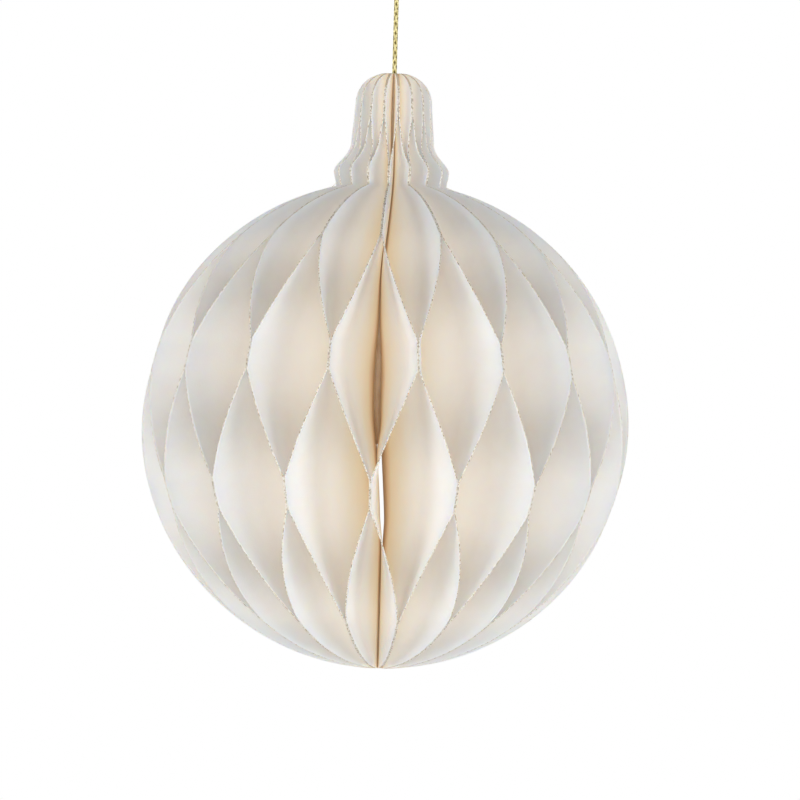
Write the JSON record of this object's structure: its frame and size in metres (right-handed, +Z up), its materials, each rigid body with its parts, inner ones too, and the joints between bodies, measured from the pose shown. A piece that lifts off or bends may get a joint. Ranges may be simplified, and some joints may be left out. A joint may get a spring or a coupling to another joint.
{
  "type": "honeycomb paper bauble",
  "caption": "Round honeycomb ornament of ivory card leaves glued rim to rim in alternating pairs, with a stepped neck and cap, glitter edges and a hanging cord.",
  "frame": {"origin": "where a hook bears on the underside of the hanging loop's top, on the bauble's own axis", "axes": "+Z up along the cord and the spine, -Y the side that the picture shows, +X to the right"},
  "size_m": [0.1496, 0.1498, 0.2426],
  "materials": {
    "ivory_card": "matt uncoated ivory card with champagne glitter on the rims",
    "spine_glue": "clear amber glue, satin",
    "gold_cord": "braided metallic gold thread"
  },
  "bodies": {
    "root": {"leaf_01": "ivory_card", "leaf_02": "ivory_card", "leaf_03": "ivory_card", "leaf_04": "ivory_card", "leaf_05": "ivory_card", "leaf_06": "ivory_card", "leaf_07": "ivory_card", "leaf_08": "ivory_card", "leaf_09": "ivory_card", "leaf_10": "ivory_card", "leaf_11": "ivory_card", "leaf_12": "ivory_card", "leaf_13": "ivory_card", "leaf_14": "ivory_card", "leaf_15": "ivory_card", "leaf_16": "ivory_card", "leaf_17": "ivory_card", "leaf_18": "ivory_card", "leaf_19": "ivory_card", "leaf_20": "ivory_card", "leaf_21": "ivory_card", "leaf_22": "ivory_card", "leaf_23": "ivory_card", "leaf_24": "ivory_card", "leaf_25": "ivory_card", "leaf_26": "ivory_card", "leaf_27": "ivory_card", "leaf_28": "ivory_card", "leaf_29": "ivory_card", "leaf_30": "ivory_card", "leaf_31": "ivory_card", "leaf_32": "ivory_card", "leaf_33": "ivory_card", "leaf_34": "ivory_card", "spine_glue_upper": "spine_glue", "spine_glue_lower": "spine_glue", "hanging_cord": "gold_cord", "hanging_loop_cord": "gold_cord", "cord_knot": "gold_cord", "stopper_knot": "gold_cord"}
  },
  "joints": []
}
